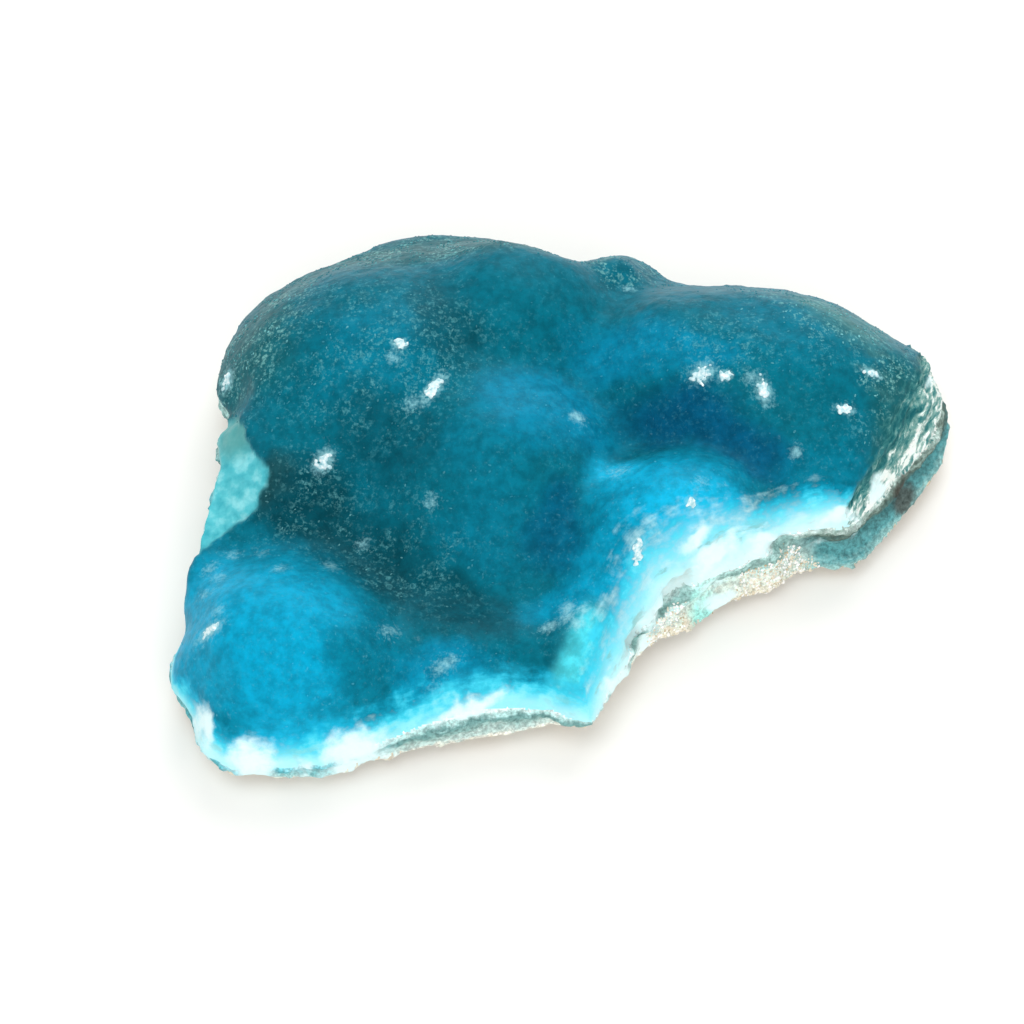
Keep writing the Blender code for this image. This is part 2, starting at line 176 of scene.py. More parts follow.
# Snow-white patches along the edge, where the crust is thinnest: middle, radius along and across, turn
WHITE_PATCHES = {
    "front_left_block": (-23.6, -23.2, 2.3, 1.3, 6),
    "front_small_block": (-19.8, -23.6, 0.9, 0.7, 0),
    "front_middle_block": (-15.8, -22.4, 3.2, 1.2, 18),
    "corner_streak": (-27.0, -20.8, 0.6, 2.0, 14),
    "seam_streak": (-7.5, -19.2, 3.6, 0.5, 18),
    "tip_edge": (3.8, -16.4, 0.5, 2.6, -32),
    "low_edge": (5.8, -13.1, 0.8, 1.6, -38),
    "main_ridge": (7.3, -10.6, 2.6, 0.55, 46),
    "main_ridge_top": (11.0, -7.6, 2.6, 0.5, 34),
    "second_ridge": (11.5, -9.0, 2.2, 0.45, 16),
    "ridge_knot": (9.5, -7.3, 1.5, 0.6, 40),
    "high_ridge": (15.0, -6.2, 2.2, 0.6, 20),
    "right_ridge": (20.3, -4.1, 1.9, 0.5, 8),
    "right_corner": (23.3, -1.3, 1.6, 0.55, 58),
    "right_top": (28.3, 8.4, 0.4, 1.3, -10),
}

# Hollows between the ridges of the broken edge: middle, radius along and across, turn. And their depth
EDGE_HOLLOWS = [(8.0, -10.1, 2.0, 0.6, 46), (16.6, -5.9, 1.6, 0.5, 20), (4.9, -13.6, 1.2, 0.4, 58)]
EDGE_HOLLOW_DEPTH = 0.6

# The bite out of the left side, which laid bare paler crust: its outline, its greener top and its depth
BITE = [
    (-25.8, 5.0), (-25.1, 3.4), (-24.4, 1.9), (-23.5, 0.2), (-22.9, -1.2), (-23.1, -2.5), (-23.9, -3.4),
    (-25.6, -4.4), (-27.0, -5.8), (-27.9, -7.0), (-30.0, -7.0), (-30.0, 5.0),
]
BITE_TOP = (-25.4, 2.9, 2.2, 2.6, 0)
BITE_DEPTH = 0.3

# How softly patches are bounded: where they start to fade and where they end, as parts of their radius
SOFT_CLOUD = (0.35, 1.15)
SOFT_BED = (0.4, 1.2)
SOFT_HOLLOW = (0.5, 1.3)
SOFT_WHITE_PATCH = (0.1, 1.4)

# How the bounds of clouds and of patches stray: the size of each wave, and how far it reaches
CLOUD_STRAY = ((5.0, 1.6), (1.4, 0.45))
PATCH_STRAY = ((2.2, 0.5), (0.8, 0.3))

# The direction of the fibres on the right end
FIBRE_TURN = 64

# Pockets of sugary matrix in the broken wall: middle, radius along and across, turn
SUGARY_POCKETS = [(7.4, -11.6, 2.5, 1.6, 42), (16.2, -7.2, 4.4, 2.2, 18)]

# How many crumbs of matrix a square millimetre holds, in the pockets and on the back, and their radius:
# the least, and how much larger they grow
CRUMBS_IN_POCKETS = 34.0
CRUMBS_ON_BACK = 0.8
LEAST_CRUMB = 0.07
CRUMB_SPREAD = 0.12

# The layers of the broken wall on each stretch of it, from its top, 0, to its foot, 1
WALL_STEPS = {
    "front": ((0.0, "#f4fffd"), (0.14, "#b9e2df"), (0.3, "#6b9a98"), (0.5, "#8fb5b0"), (0.75, "#c6dcd6"),
              (0.92, "#f0efe2")),
    "broken": ((0.0, "#f6fffe"), (0.12, "#b4dcd8"), (0.25, "#7fa39c"), (0.4, "#c9ebe6"), (0.6, "#d9e6dc"),
               (0.9, "#e4e0cc")),
    "right": ((0.0, "#e4f4f0"), (0.1, "#9ab4ac"), (0.22, "#566a61"), (0.4, "#4a7a7b"), (0.65, "#5b9fa3"),
              (0.95, "#a5d0cc")),
    "left": ((0.0, "#c9f1f5"), (0.2, "#6cc6d2"), (0.45, "#4f9fa8"), (0.7, "#93cfd0"), (0.95, "#dfeee6")),
    "back": ((0.1, "#17707c"), (0.45, "#2f8490"), (0.7, "#8fbcb6"), (0.95, "#d3d4c2")),
}

# Where they lie, but for the front one, which is the rest: middle, radius along and across, turn, bounds
WALL_STRETCHES = {
    "broken": (10.5, -10.5, 12.0, 6.0, 32, (0.7, 1.2)),
    "right": (26.5, 0.5, 8.0, 12.5, -30, (0.8, 1.15)),
    "left": (-31.0, -16.0, 18.0, 18.0, 0, (0.8, 1.1)),
    "back": (0.0, 27.0, 36.0, 18.0, 0, (0.85, 1.05)),
}

# A dark weathered pocket and a mint stain on the wall: middle, radius along and across, turn
DARK_POCKET = (26.0, -0.2, 1.6, 0.9, 50)
MINT_STAIN = (10.6, -9.8, 1.9, 1.3, 25)

# Where one material of the stone gives way to the next: how far in from the edge the pale one reaches, in
# widths of the band and of the bare fibres, and where the wall and the back start in their readings
PALE_REACH = 2.4
FIBRE_REACH = 2.0
WALL_START = 0.04
BACK_START = 0.5

# Where the druse grows: middle, radius along and across, turn in degrees, and how thickly, from 0 to 1
DRUSE_BEDS = {
    "back_rim": (-8.0, 20.5, 20.0, 4.0, 4, 1.0),
    "back_left_rim": (-23.5, 11.5, 4.5, 9.5, -25, 1.0),
    "left_dome": (-15.0, 8.0, 11.0, 9.0, 0, 0.45),
    "left_hollow": (-19.7, -3.5, 5.0, 4.5, -30, 0.5),
    "hollow_run": (-13.2, -7.5, 8.0, 5.0, -30, 0.4),
    "knob": (4.6, 18.2, 5.0, 3.0, 0, 1.0),
    "right_rim": (20.0, 12.0, 9.0, 4.5, -30, 0.9),
    "right_end": (25.0, 6.0, 4.0, 6.5, -14, 1.0),
    "right_dome": (14.5, 9.0, 9.0, 5.0, 0, 0.4),
    "bite_top": (-26.6, 2.6, 2.6, 3.0, 0, 0.9),
}

# Places where the crust is bright and calm, and how much of the druse is missing there
CALM_PLACES = ("bright_dome", "below_bright", "front_dome", "tip", "middle_swell")
CALM = 0.9

# How many blades of druse a square millimetre holds, everywhere and in the middle of a thick bed, and the
# size of a blade: half its length, half its thickness, and how deep its middle is sunk. The real blades are
# too fine to show here, so they are drawn coarser and fewer
SPARSE_DRUSE = 0.12
THICK_DRUSE = 5.0
BLADE_HALF_LENGTHS = (0.09, 0.2)
BLADE_HALF_THICKNESS = 0.05
BLADE_SUNK = 0.02

# White tufts on the crust: place, length, width and turn
TUFTS = [
    (-10.3, 4.3, 2.1, 0.75, 56), (-12.8, 7.5, 0.8, 0.6, 0), (-18.6, -0.4, 1.3, 0.9, 40),
    (-26.5, -15.1, 1.5, 0.8, 15), (10.2, 6.1, 1.3, 1.0, 20), (11.9, 5.7, 0.8, 0.6, 0),
    (14.8, 4.5, 0.8, 1.5, 20), (21.0, 3.4, 1.1, 0.5, 0), (23.2, 6.7, 1.2, 0.5, -10),
    (9.0, -5.7, 0.7, 0.6, 0), (5.1, -8.8, 1.9, 0.8, 62), (-26.4, 8.2, 0.8, 1.1, 0),
]

# Fainter spots, of fibres that lie just under the surface: place, length, width, turn and strength
FAINT_SPOTS = [
    (-13.3, 6.5, 0.8, 0.7, 0, 0.6), (0.7, 3.0, 0.8, 0.8, 0, 0.8), (17.2, 0.0, 0.6, 0.6, 0, 0.8),
    (-10.4, -4.3, 0.8, 0.8, 0, 0.5), (-15.6, -6.3, 1.0, 0.8, 0, 0.45), (-9.2, -17.0, 1.6, 0.8, 25, 0.55),
    (4.8, 15.9, 0.8, 0.6, 0, 0.6), (-0.2, -12.3, 0.9, 0.8, 0, 0.7), (-1.5, -13.6, 1.1, 0.7, 20, 0.65),
    (0.5, -14.0, 0.9, 0.8, -20, 0.7), (1.0, -12.8, 0.9, 0.7, 0, 0.65), (-0.2, -13.2, 1.0, 0.9, 0, 0.65),
    (3.8, -1.5, 1.6, 1.2, 20, 0.4), (6.2, -7.6, 1.0, 0.9, 40, 0.6), (13.9, 5.4, 0.8, 0.8, 0, 0.6),
    (-11.8, 3.2, 1.2, 0.9, 30, 0.5), (-26.0, -13.6, 0.8, 0.7, 0, 0.5), (9.8, -3.8, 0.9, 0.8, 0, 0.4),
    (-27.0, -8.4, 1.1, 0.8, 40, 0.45), (-25.4, -7.2, 1.1, 0.8, 10, 0.4), (-26.2, -9.8, 1.2, 0.9, -30, 0.4),
    (-27.2, -11.2, 1.0, 0.8, 0, 0.4), (-21.6, -9.6, 1.0, 0.8, 30, 0.45), (-23.1, -7.2, 1.0, 0.8, -20, 0.35),
    (-17.9, -8.8, 1.2, 0.8, -40, 0.4), (-13.4, -14.6, 1.3, 0.9, 30, 0.4), (-9.8, -18.6, 1.2, 0.9, 0, 0.45),
]


# How strongly hemimorphite bends light
REFRACTION = 1.62


def linear(shade):
    """An sRGB hex colour as linear RGBA."""
    parts = [int(shade[i : i + 2], 16) / 255 for i in (1, 3, 5)]
    return (*[c / 12.92 if c <= 0.04045 else ((c + 0.055) / 1.055) ** 2.4 for c in parts], 1.0)


def smooth_step(low, high, value):
    """Goes smoothly from 0 to 1 as a value goes from low to high."""
    t = np.clip((value - low) / (high - low), 0, 1)
    return t * t * (3 - 2 * t)


# Sculpting


def select_only(piece):
    bpy.ops.object.select_all(action="DESELECT")
    piece.select_set(True)
    bpy.context.view_layer.objects.active = piece


def copy_of_solid(name):
    """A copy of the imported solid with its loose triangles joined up."""
    piece = bpy.data.objects.new(name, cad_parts["hemimorphite"].data.copy())
    bpy.context.scene.collection.objects.link(piece)
    piece.data.materials.clear()
    select_only(piece)
    bpy.ops.object.mode_set(mode="EDIT")
    bpy.ops.mesh.select_all(action="SELECT")
    bpy.ops.mesh.remove_doubles(threshold=0.001 * MM)
    bpy.ops.object.mode_set(mode="OBJECT")
    return piece


def apply(piece, kind, **settings):
    """Adds a modifier and applies it."""
    select_only(piece)
    modifier = piece.modifiers.new(kind.lower(), kind)
    for setting, value in settings.items():
        setattr(modifier, setting, value)
    bpy.ops.object.modifier_apply(modifier=modifier.name)


def surface_of(piece):
    """The places of a piece's vertices in millimetres, and the directions that they face."""
    count = len(piece.data.vertices)
    places = np.empty(count * 3)
    facing = np.empty(count * 3)
    piece.data.vertices.foreach_get("co", places)
    piece.data.vertices.foreach_get("normal", facing)
    return places.reshape(-1, 3) / MM, facing.reshape(-1, 3)


def ellipse_distance(places, patch):
    """How far places lie from the middle of a patch seen from above, where 1 is its rim."""
    x, y, along, across, turn = patch[:5]
    turn = math.radians(turn)
    dx, dy = places[:, 0] - x, places[:, 1] - y
    u = (dx * math.cos(turn) + dy * math.sin(turn)) / along
    v = (dy * math.cos(turn) - dx * math.sin(turn)) / across
    return np.hypot(u, v)


def in_patch(places, patch, soft):
    """1 in the middle of a patch, falling softly to 0 past its rim."""
    return 1 - smooth_step(*soft, ellipse_distance(places, patch))


def in_any(places, patches, soft):
    """1 in the middle of any patch, falling softly to 0 past their rims."""
    share = np.zeros(len(places))
    for patch in patches:
        share = np.maximum(share, in_patch(places, patch, soft))
    return share


def read_outline(places, outline):
    """For each place: how far in from an outline it lies seen from above, how far round the outline, and
    the values of the outline there."""
    edge = np.array(outline)
    following = np.roll(edge, -1, axis=0)
    nearest = np.full(len(places), np.inf)
    round_edge = np.zeros(len(places))
    values = np.zeros((len(places), edge.shape[1] - 2))
    inside = np.zeros(len(places), bool)
    x, y = places[:, 0], places[:, 1]
    gone_by = 0.0
    for start, end in zip(edge, following):
        run = end[:2] - start[:2]
        length = np.hypot(*run)
        share = np.clip(((places[:, :2] - start[:2]) @ run) / length**2, 0, 1)
        away = np.linalg.norm(places[:, :2] - start[:2] - share[:, None] * run, axis=1)
        closer = away < nearest
        nearest[closer] = away[closer]
        round_edge[closer] = gone_by + share[closer] * length
        values[closer] = start[2:] + share[closer, None] * (end[2:] - start[2:])
        spans = (start[1] > y) != (end[1] > y)
        # A level run spans no place, so any number can stand in for its rise
        rise = run[1] or 1.0
        inside ^= spans & (x < start[0] + (y - start[1]) / rise * run[0])
        gone_by += length
    return np.where(inside, nearest, -nearest), round_edge, values


def read_surface(piece):
    """What each part of the surface is, as shares from 0 to 1 and distances in millimetres."""
    places, facing = surface_of(piece)
    inward, round_edge, values = read_outline(places + ORIGIN_IN_OUTLINE, CRUST_EDGE)
    edge_height, foot_height, band, white, fibres = values.T
    drop = edge_height - places[:, 2]
    near_edge = inward < WALL_REACH
    layer = np.where(near_edge, np.clip(drop / (edge_height - foot_height), 0, 1), facing[:, 2] < 0)
    back = smooth_step(0.15, 0.55, -facing[:, 2]) * smooth_step(0.6, 0.95, layer)
    frost = np.zeros(len(places))
    for bed in DRUSE_BEDS.values():
        frost = np.maximum(frost, in_patch(places, bed, SOFT_BED) * bed[5])
    for calm in CALM_PLACES:
        frost *= 1 - CALM * in_patch(places, CLOUDS[calm], SOFT_BED)
    strayed = stray(places, PATCH_STRAY)
    hollow = in_any(strayed, EDGE_HOLLOWS, SOFT_HOLLOW)
    hollow *= 1 - smooth_step(0.15, 0.5, layer)
    bite = smooth_step(-0.2, 0.2, read_outline(strayed, BITE)[0]) * (facing[:, 2] > -0.2)
    snow = in_any(strayed, WHITE_PATCHES.values(), SOFT_WHITE_PATCH)
    spots = np.zeros(len(places))
    for spot in [(*tuft, 0.9) for tuft in TUFTS] + FAINT_SPOTS:
        spots = np.maximum(spots, spot[5] * np.exp(-1.6 * ellipse_distance(places, spot) ** 2))
    return {
        "rim": np.where(band > LEAST_BAND, np.minimum(np.clip(inward, 0, None) / band, FAR), FAR),
        "slope": np.where(fibres > LEAST_BAND, np.minimum(np.clip(inward, 0, None) / fibres, FAR), FAR),
        "white": white,
        "layer": layer.astype(float),
        "back": back,
        "round_edge": round_edge,
        "fall": np.clip(drop, 0, None) - np.clip(inward, 0, None),
        "frost": frost,
        "spots": np.where(facing[:, 2] > 0, spots, 0.0),
        "bite": bite,
        "hollow": hollow,
        "snow": snow * (1 - hollow),
        "tint": clouds_over(places),
    }


def stray(places, sizes_and_reaches):
    """Places that stray from the true ones, so that bounds aren't even curves. This noise has no seed set,
    so the way that they stray differs from run to run."""
    strayed = places.copy()
    for size, reach in sizes_and_reaches:
        strayed += reach * np.array([noise_vector(Vector(place) / size)[:] for place in strayed])
    return strayed


def clouds_over(places):
    """The colour of the crust at each place: the clouds, laid one over another."""
    strayed = stray(places, CLOUD_STRAY)
    colour = np.tile(linear(SHADES["teal"]), (len(places), 1))
    for cloud in CLOUDS.values():
        share = cloud[6] * in_patch(strayed, cloud, SOFT_CLOUD)
        colour += share[:, None] * (np.array(linear(SHADES[cloud[5]])) - colour)
    return colour


def keep_on_surface(piece, readings):
    """Stores readings as attributes, for the materials: single values, or colours."""
    for name, values in readings.items():
        if values.ndim == 1:
            attribute = piece.data.attributes.new(name, "FLOAT", "POINT")
            attribute.data.foreach_set("value", values.astype(np.float32))
        else:
            attribute = piece.data.attributes.new(name, "FLOAT_COLOR", "POINT")
            attribute.data.foreach_set("color", values.astype(np.float32).ravel())


def lay_edge_map(piece, readings, along, across):
    """A map that runs round the edge and down it, so that a texture can follow the layers of the wall. A
    displacement reads a map at twice its scale, so it is laid at half."""
    corners = np.empty(len(piece.data.loops), int)
    piece.data.loops.foreach_get("vertex_index", corners)
    run = np.stack([readings["round_edge"] / along, readings["fall"] / across], axis=1) / 2
    edge_map = piece.data.uv_layers.new(name="edge_map")
    edge_map.data.foreach_set("uv", run[corners].ravel())


def weigh(piece, name, weights, steps=16):
    """A vertex group, with its weights rounded to a few steps."""
    group = piece.vertex_groups.new(name=name)
    levels = np.round(weights * steps).astype(int)
    for level in range(1, steps + 1):
        group.add(np.nonzero(levels == level)[0].tolist(), level / steps, "REPLACE")


def roughen(piece, where, kind, size, depth, stretch=None, on_map=False):
    """Pushes part of the surface in and out in lumps of a size. They can be stretched along a turned
    direction, or along the edge by the edge map, which sets their size itself."""
    texture = bpy.data.textures.new(f"{where}_{size}", kind)
    texture.noise_scale = 1.0 if stretch or on_map else size * MM
    options = {"texture": texture, "vertex_group": where, "strength": depth * MM, "mid_level": 0.5}
    if on_map:
        options.update(texture_coords="UV", uv_layer="edge_map")
    if stretch:
        turn, times = stretch
        lattice = bpy.data.objects.new("stretch", None)
        bpy.context.scene.collection.objects.link(lattice)
        lattice.rotation_euler = (0, 0, math.radians(turn))
        lattice.scale = (size * times * MM, size * MM, size * MM)
        bpy.context.view_layer.update()
        options.update(texture_coords="OBJECT", texture_coords_object=lattice)
    apply(piece, "DISPLACE", **options)
    if stretch:
        bpy.data.objects.remove(lattice)
    bpy.data.textures.remove(texture)


def sculpt_stone():
    """The stone itself: crust, broken edge and back in one skin."""
    stone = copy_of_solid("stone")
    apply(stone, "SUBSURF", levels=1, render_levels=1)
    size = GRAIN_OF_MESH
    apply(stone, "REMESH", mode="VOXEL", voxel_size=size * MM, use_smooth_shade=True)
    apply(stone, "SMOOTH", factor=0.5, iterations=3)
    readings = read_surface(stone)
    places, facing = surface_of(stone)
    layer, back, rim = readings["layer"], readings["back"], readings["rim"]
    wall = smooth_step(0.02, 0.15, layer) * (1 - back)
    slope = 1 - smooth_step(0.7, 1.1, readings["slope"])
    slope *= (1 - smooth_step(0.1, 0.3, layer)) * (facing[:, 2] > 0.1)
    broken = readings["white"] * (1 - smooth_step(0.3, 1.0, rim)) * (1 - smooth_step(0.0, 0.1, layer))
    weigh(stone, "crust", 1 - smooth_step(0.0, 0.1, layer))
    weigh(stone, "wall", wall)
    weigh(stone, "broken", np.maximum(broken, 0.6 * wall))
    weigh(stone, "slope", slope)
    weigh(stone, "back", back * smooth_step(0.05, 0.5, places[:, 2]))
    weigh(stone, "spots", readings["spots"])
    weigh(stone, "bite", readings["bite"])
    weigh(stone, "hollow", readings["hollow"])
    lay_edge_map(stone, readings, along=3.2, across=0.9)
    roughen(stone, "crust", "CLOUDS", size=1.1, depth=0.14)
    roughen(stone, "crust", "VORONOI", size=0.7, depth=0.06)
    roughen(stone, "broken", "CLOUDS", size=1.0, depth=1.5, on_map=True)
    roughen(stone, "wall", "CLOUDS", size=0.5, depth=0.4)
    roughen(stone, "slope", "CLOUDS", size=0.5, depth=0.9, stretch=(FIBRE_TURN, 5.0))
    roughen(stone, "spots", "CLOUDS", size=0.4, depth=0.3)
    apply(stone, "DISPLACE", vertex_group="bite", strength=-BITE_DEPTH * MM, mid_level=0.0)
    roughen(stone, "bite", "CLOUDS", size=0.9, depth=0.3)
    apply(stone, "DISPLACE", vertex_group="hollow", strength=-EDGE_HOLLOW_DEPTH * MM, mid_level=0.0)
    roughen(stone, "back", "CLOUDS", size=1.6, depth=0.8)
    roughen(stone, "back", "VORONOI", size=0.9, depth=0.5)
    stone.vertex_groups.clear()
    stone.data.uv_layers.remove(stone.data.uv_layers["edge_map"])
    keep_on_surface(stone, readings)
    return stone, readings


# Growths on the stone


def template(add_primitive, **settings):
    """A small shape that is modelled once: the places of its corners, and its faces."""
    add_primitive(**settings)
    made = bpy.context.object
    shape = np.array([corner.co[:] for corner in made.data.vertices])
    faces = [tuple(face.vertices) for face in made.data.polygons]
    bpy.data.objects.remove(made)
    return shape, faces


def join_copies(name, shape, faces, turns, sizes, places, **readings):
    """One piece of many copies of a shape. Each copy has its own turn, size along each axis and place."""
    copies = len(places)
    points = np.einsum("nij,nkj->nki", turns, shape[None] * sizes[:, None, :]) + places[:, None, :]
    offsets = np.arange(copies) * len(shape)
    all_faces = [[corner + int(offset) for corner in face] for offset in offsets for face in faces]
    mesh = bpy.data.meshes.new(name)
    mesh.from_pydata(points.reshape(-1, 3) * MM, [], all_faces)
    piece = bpy.data.objects.new(name, mesh)
    bpy.context.scene.collection.objects.link(piece)
    spread = {key: np.repeat(values, len(shape), axis=0) for key, values in readings.items()}
    keep_on_surface(piece, spread)
    return piece


def stand_up(facing, rng, lean, way=(1, 0, 0), swing=math.pi):
    """Turns for copies that stand on a surface: leaning by chance, and pointing more or less one way."""
    turns = []
    for direction in facing:
        up = Vector(direction)
        tilt = Euler(tuple(rng.normal(0, math.radians(lean), 2)) + (0.0,)).to_matrix()
        side = up.cross(Vector(way)).normalized()
        base = Matrix((side.cross(up), side, up)).transposed()
        turns.append(base @ Matrix.Rotation(rng.uniform(-swing, swing), 3, "Z") @ tilt)
    return np.array([turn[:] for turn in turns], float).reshape(-1, 3, 3)


def grow_druse(stone, readings):
    """Tiny flat blades, half sunk in the crust, as the druse that catches the light."""
    rng = np.random.default_rng(11)
    places, facing = surface_of(stone)
    clumps = 0.5 + 0.5 * np.sin(places[:, 0] * 1.9 + 2 * np.sin(places[:, 1] * 1.3))
    density = SPARSE_DRUSE + THICK_DRUSE * readings["frost"] * clumps**2
    density *= (1 - smooth_step(0.0, 0.12, readings["layer"])) * smooth_step(0.5, 1.2, readings["rim"])
    density *= smooth_step(1.0, 1.4, readings["slope"]) * (1 - readings["bite"])
    chosen = rng.random(len(places)) < density * VERTEX_AREA
    places, facing, tint = places[chosen], facing[chosen], readings["tint"][chosen]
    count = len(places)
    shape, faces = template(bpy.ops.mesh.primitive_cylinder_add, vertices=6, radius=1.0, depth=2.0)
    shape[shape[:, 2] > 0, :2] *= 0.55
    length = rng.uniform(*BLADE_HALF_LENGTHS, count)
    width = length * rng.uniform(0.4, 0.7, count)
    sizes = np.stack([length, width, np.full(count, BLADE_HALF_THICKNESS)], axis=1)
    turns = stand_up(facing, rng, lean=14, way=(0.8, 0.6, 0), swing=1.0)
    sunk = places - facing * BLADE_SUNK
    # How far each blade is whitened: a painted glint, stronger where the frost is thick
    glint = rng.random(count) ** 2 * (0.3 + 0.7 * readings["frost"][chosen])
    return join_copies("druse", shape, faces, turns, sizes, sunk, glint=glint, tint=tint)


def grow_tufts(stone):
    """White tufts: each a small heap of lumps, grown into one another."""
    rng = np.random.default_rng(5)
    places, facing = surface_of(stone)
    on_top = facing[:, 2] > 0.2
    places, facing = places[on_top], facing[on_top]
    shape, faces = template(bpy.ops.mesh.primitive_ico_sphere_add, subdivisions=1, radius=1.0)
    lump_places, lump_facing, lump_sizes = [], [], []
    for x, y, length, width, turn in TUFTS:
        for _ in range(int(14 + 16 * length * width)):
            u, v = rng.normal(0, 0.24 * length), rng.normal(0, 0.24 * width)
            turned = math.radians(turn)
            dx = u * math.cos(turned) - v * math.sin(turned)
            dy = u * math.sin(turned) + v * math.cos(turned)
            near = np.argmin(np.hypot(places[:, 0] - x - dx, places[:, 1] - y - dy))
            size = rng.uniform(0.12, 0.2)
            lump_places.append(places[near] + (x + dx - places[near][0], y + dy - places[near][1], 0))
            lump_facing.append(facing[near])
            lump_sizes.append((size * 1.3, size, size * rng.uniform(0.5, 0.9)))
    turns = stand_up(lump_facing, rng, lean=25)
    tufts = join_copies("white_tufts", shape, faces, turns, np.array(lump_sizes), np.array(lump_places))
    apply(tufts, "REMESH", mode="VOXEL", voxel_size=0.07 * MM, use_smooth_shade=True)
    apply(tufts, "SMOOTH", factor=0.5, iterations=2)
    return tufts


def grow_crumbs(stone, readings):
    """Sugary crumbs of matrix on the lower part of the wall and on the back."""
    rng = np.random.default_rng(23)
    places, facing = surface_of(stone)
    layer = readings["layer"]
    pockets = smooth_step(0.4, 0.7, in_any(places, SUGARY_POCKETS, SOFT_BED))
    density = smooth_step(0.2, 0.45, layer) * CRUMBS_IN_POCKETS * pockets
    density += CRUMBS_ON_BACK * readings["back"]
    chosen = (rng.random(len(places)) < density * VERTEX_AREA) & (places[:, 2] > 0.5)
    places, facing = places[chosen], facing[chosen]
    count = len(places)
    shape, faces = template(bpy.ops.mesh.primitive_ico_sphere_add, subdivisions=1, radius=1.0)
    size = LEAST_CRUMB + CRUMB_SPREAD * rng.random(count) ** 2
    sizes = size[:, None] * rng.uniform(0.6, 1.3, (count, 3))
    turns = stand_up(facing, rng, lean=60)
    sunk = places - facing * size[:, None] * 0.4
    return join_copies("matrix_crumbs", shape, faces, turns, sizes, sunk, shade=rng.random(count))


# Materials


def add(tree, kind, inputs=None, **settings):
    """Adds a node with its settings. An input is a value, or the output that feeds it."""
    node = tree.nodes.new(kind)
    for setting, value in settings.items():
        setattr(node, setting, value)
    for socket, value in (inputs or {}).items():
        if isinstance(value, bpy.types.NodeSocket):
            tree.links.new(value, node.inputs[socket])
        else:
            node.inputs[socket].default_value = value
    return node


def new_material(name):
    """A material with its surface shader, and its place on the stone in millimetres."""
    material = bpy.data.materials.new(name)
    material.use_nodes = True
    tree = material.node_tree
    surface = tree.nodes["Principled BSDF"]
    place = add(tree, "ShaderNodeTexCoord").outputs["Object"]
    in_mm = add(tree, "ShaderNodeVectorMath", {0: place, 3: 1 / MM}, operation="SCALE")
    return material, tree, surface, in_mm.outputs[0]


def noise(tree, place, size, detail=3.0, roughness=0.55):
    """Soft lumps of a size in millimetres, from 0 to 1, and as three such values in a colour."""
    inputs = {"Vector": place, "Scale": 1 / size, "Detail": detail, "Roughness": roughness}
    return add(tree, "ShaderNodeTexNoise", inputs)


def fade(tree, value, low, high, start=0.0, end=1.0):
    """Goes smoothly from start to end as a value goes from low to high."""
    inputs = {"Value": value, 1: low, 2: high, 3: start, 4: end}
    kind = {"interpolation_type": "SMOOTHSTEP", "clamp": True}
    return add(tree, "ShaderNodeMapRange", inputs, **kind).outputs[0]


def maths(tree, operation, first, second=0.5, third=0.5):
    inputs = {0: first, 1: second, 2: third}
    return add(tree, "ShaderNodeMath", inputs, operation=operation).outputs[0]


def blend(tree, share, under, over):
    """Lays one colour over another by a share."""
    node = add(tree, "ShaderNodeMix", data_type="RGBA")
    for socket, value in ((0, share), (6, under), (7, over)):
        if isinstance(value, bpy.types.NodeSocket):
            tree.links.new(value, node.inputs[socket])
        else:
            node.inputs[socket].default_value = linear(value) if isinstance(value, str) else value
    return node.outputs[2]


def reading(tree, name, kind="Fac"):
    """A reading that was kept on the surface: a single value, or a colour."""
    return add(tree, "ShaderNodeAttribute", attribute_name=name).outputs[kind]


def turned_place(tree, place, middle, turn, size):
    """A place seen from a middle, turned, and measured in sizes along, across and up."""
    inputs = {"Vector": place, "Location": middle, "Rotation": (0, 0, math.radians(turn)), "Scale": size}
    return add(tree, "ShaderNodeMapping", inputs, vector_type="TEXTURE").outputs[0]


def cloud_share(tree, place, cloud, soft=SOFT_CLOUD):
    """1 inside a cloud and 0 outside it, with a soft bound."""
    x, y, along, across, turn = cloud[:5]
    local = turned_place(tree, place, (x, y, 0), turn, (along, across, 1000))
    away = add(tree, "ShaderNodeVectorMath", {0: local}, operation="LENGTH").outputs["Value"]
    return fade(tree, away, soft[0], soft[1], 1.0, 0.0)


def colour_steps(tree, value, *steps):
    """A colour that changes along a value, from step to step."""
    node = add(tree, "ShaderNodeValToRGB", {"Fac": value})
    ramp = node.color_ramp
    while len(ramp.elements) < len(steps):
        ramp.elements.new(1.0)
    for element, (position, shade) in zip(ramp.elements, steps):
        element.position = position
        element.color = linear(shade)
    return node.outputs["Color"]


def wander(tree, place, size, reach):
    """A place that strays from the true one, so that the bounds of colours aren't even curves."""
    lumps = noise(tree, place, size, detail=4.0).outputs["Color"]
    centred = add(tree, "ShaderNodeVectorMath", {0: lumps, 1: (0.5, 0.5, 0.5)}, operation="SUBTRACT")
    inputs = {0: centred.outputs[0], 1: (reach,) * 3, 2: place}
    return add(tree, "ShaderNodeVectorMath", inputs, operation="MULTIPLY_ADD").outputs[0]


def along_edge(tree, along, across):
    """A place that runs round the stone's edge and down it, in sizes along and across the layers."""
    u = maths(tree, "DIVIDE", reading(tree, "round_edge"), along)
    v = maths(tree, "DIVIDE", reading(tree, "fall"), across)
    return add(tree, "ShaderNodeCombineXYZ", {0: u, 1: v}).outputs[0]


def brightness(tree, colour, value):
    return add(tree, "ShaderNodeHueSaturation", {"Color": colour, "Value": value}).outputs[0]


def crust_colour(tree, place):
    """Copper-blue hemimorphite: the clouds of shade in a waxy crust, finely mottled."""
    patches = noise(tree, place, 1.0, detail=5.0, roughness=0.65).outputs["Fac"]
    return brightness(tree, reading(tree, "tint", "Color"), fade(tree, patches, 0.3, 0.7, 0.68, 1.04))


